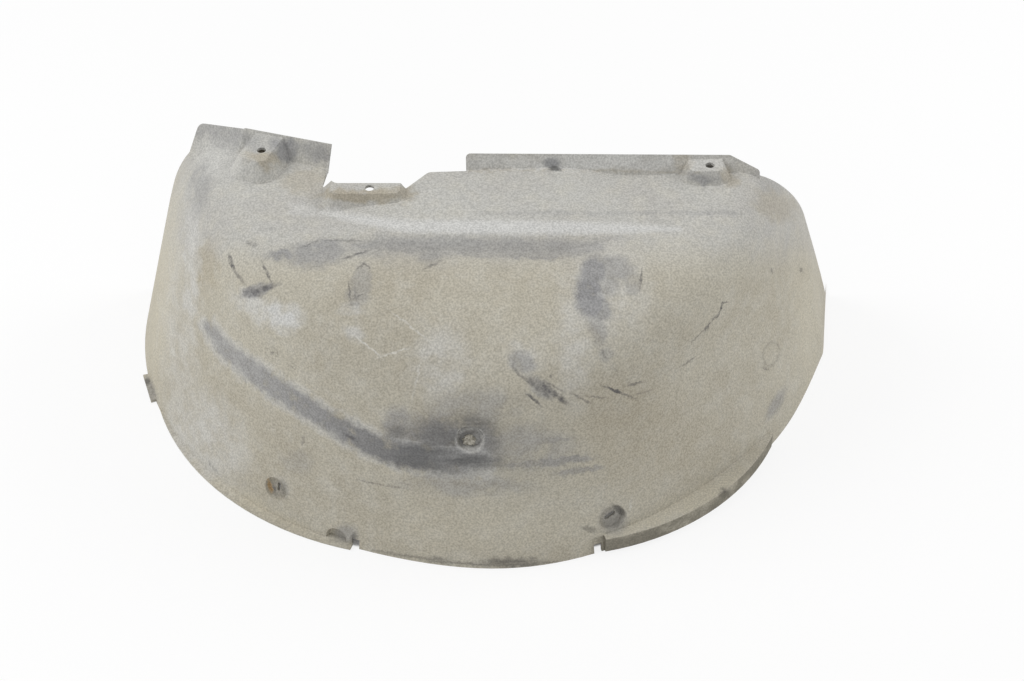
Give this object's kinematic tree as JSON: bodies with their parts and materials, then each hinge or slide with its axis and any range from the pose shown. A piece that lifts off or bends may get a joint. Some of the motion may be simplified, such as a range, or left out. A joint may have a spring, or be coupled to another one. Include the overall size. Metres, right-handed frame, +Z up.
{
  "type": "wheel arch liner",
  "caption": "Moulded plastic wheel arch liner: a domed, half-round sheet open below and behind, with raised fixing pads, clip holes, back flanges and a stepped lip.",
  "frame": {"origin": "wheel axis, in the plane that the curved lip stands on", "axes": "+X along the lip, to the right as seen from the curved front; +Y towards the open back; +Z up to the crown"},
  "size_m": [0.683, 0.3809, 0.2502],
  "materials": {
    "liner": "dark grey plastic under dried beige dust, rubbed bare in places"
  },
  "bodies": {
    "root": {"wheel_arch_liner": "liner"}
  },
  "joints": []
}
